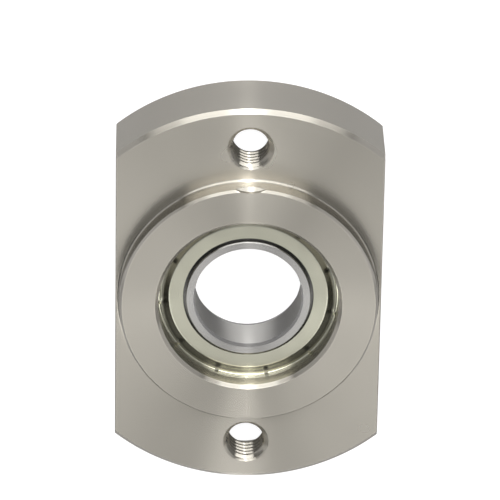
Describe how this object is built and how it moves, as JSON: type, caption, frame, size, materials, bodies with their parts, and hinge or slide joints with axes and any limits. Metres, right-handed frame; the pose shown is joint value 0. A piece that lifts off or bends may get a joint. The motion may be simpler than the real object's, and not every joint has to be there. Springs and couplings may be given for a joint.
{
  "type": "flanged bearing",
  "caption": "Flange-mounted ball bearing: a turned steel housing with milled side flats and a round boss holds a shielded deep-groove bearing between tapped screw holes.",
  "frame": {"origin": "centre of the bore on the housing's back face", "axes": "+Z along the bore axis towards the boss, +Y through the screw holes, flats across X"},
  "size_m": [0.062, 0.096, 0.0215],
  "materials": {
    "housing_steel": "fine-turned, satin nickel-grey",
    "ring_steel": "ground",
    "ball_steel": "polished",
    "cage_steel": "pressed sheet",
    "shield_zinc": "zinc-plated pressed sheet, pale yellow-green tint",
    "spring_steel": "dark phosphated spring steel"
  },
  "bodies": {
    "housing": {"housing": "housing_steel", "outer_ring": "ring_steel", "shield_front": "shield_zinc", "shield_rear": "shield_zinc", "retaining_ring": "spring_steel"},
    "inner_ring": {"inner_ring": "ring_steel"},
    "cage": {"cage_front": "cage_steel", "cage_rear": "cage_steel", "cage_rivets": "cage_steel"},
    "ball_1": {"ball_1": "ball_steel"},
    "ball_2": {"ball_2": "ball_steel"},
    "ball_3": {"ball_3": "ball_steel"},
    "ball_4": {"ball_4": "ball_steel"},
    "ball_5": {"ball_5": "ball_steel"},
    "ball_6": {"ball_6": "ball_steel"},
    "ball_7": {"ball_7": "ball_steel"},
    "ball_8": {"ball_8": "ball_steel"},
    "ball_9": {"ball_9": "ball_steel"},
    "ball_10": {"ball_10": "ball_steel"}
  },
  "joints": [
    {"name": "inner_ring_spin", "type": "hinge", "parent": "housing", "child": "inner_ring", "pos_m": [0, 0, 0.0113], "axis": [0, 0, 1], "continuous": true},
    {"name": "cage_spin", "type": "hinge", "parent": "housing", "child": "cage", "pos_m": [0, 0, 0.0113], "axis": [0, 0, 1], "continuous": true},
    {"name": "ball_1_spin", "type": "hinge", "parent": "cage", "child": "ball_1", "pos_m": [0.018, 0, 0.0113], "axis": [0, 0, 1], "continuous": true},
    {"name": "ball_2_spin", "type": "hinge", "parent": "cage", "child": "ball_2", "pos_m": [0.01456, 0.01058, 0.0113], "axis": [0, 0, 1], "continuous": true},
    {"name": "ball_3_spin", "type": "hinge", "parent": "cage", "child": "ball_3", "pos_m": [0.00556, 0.01712, 0.0113], "axis": [0, 0, 1], "continuous": true},
    {"name": "ball_4_spin", "type": "hinge", "parent": "cage", "child": "ball_4", "pos_m": [-0.00556, 0.01712, 0.0113], "axis": [0, 0, 1], "continuous": true},
    {"name": "ball_5_spin", "type": "hinge", "parent": "cage", "child": "ball_5", "pos_m": [-0.01456, 0.01058, 0.0113], "axis": [0, 0, 1], "continuous": true},
    {"name": "ball_6_spin", "type": "hinge", "parent": "cage", "child": "ball_6", "pos_m": [-0.018, 0, 0.0113], "axis": [0, 0, 1], "continuous": true},
    {"name": "ball_7_spin", "type": "hinge", "parent": "cage", "child": "ball_7", "pos_m": [-0.01456, -0.01058, 0.0113], "axis": [0, 0, 1], "continuous": true},
    {"name": "ball_8_spin", "type": "hinge", "parent": "cage", "child": "ball_8", "pos_m": [-0.00556, -0.01712, 0.0113], "axis": [0, 0, 1], "continuous": true},
    {"name": "ball_9_spin", "type": "hinge", "parent": "cage", "child": "ball_9", "pos_m": [0.00556, -0.01712, 0.0113], "axis": [0, 0, 1], "continuous": true},
    {"name": "ball_10_spin", "type": "hinge", "parent": "cage", "child": "ball_10", "pos_m": [0.01456, -0.01058, 0.0113], "axis": [0, 0, 1], "continuous": true}
  ],
  "couplings": [
    {"joint": "cage_spin", "follows": "inner_ring_spin", "ratio": 0.41181},
    {"joint": "ball_1_spin", "follows": "inner_ring_spin", "ratio": -2.7465},
    {"joint": "ball_2_spin", "follows": "inner_ring_spin", "ratio": -2.7465},
    {"joint": "ball_3_spin", "follows": "inner_ring_spin", "ratio": -2.7465},
    {"joint": "ball_4_spin", "follows": "inner_ring_spin", "ratio": -2.7465},
    {"joint": "ball_5_spin", "follows": "inner_ring_spin", "ratio": -2.7465},
    {"joint": "ball_6_spin", "follows": "inner_ring_spin", "ratio": -2.7465},
    {"joint": "ball_7_spin", "follows": "inner_ring_spin", "ratio": -2.7465},
    {"joint": "ball_8_spin", "follows": "inner_ring_spin", "ratio": -2.7465},
    {"joint": "ball_9_spin", "follows": "inner_ring_spin", "ratio": -2.7465},
    {"joint": "ball_10_spin", "follows": "inner_ring_spin", "ratio": -2.7465}
  ]
}
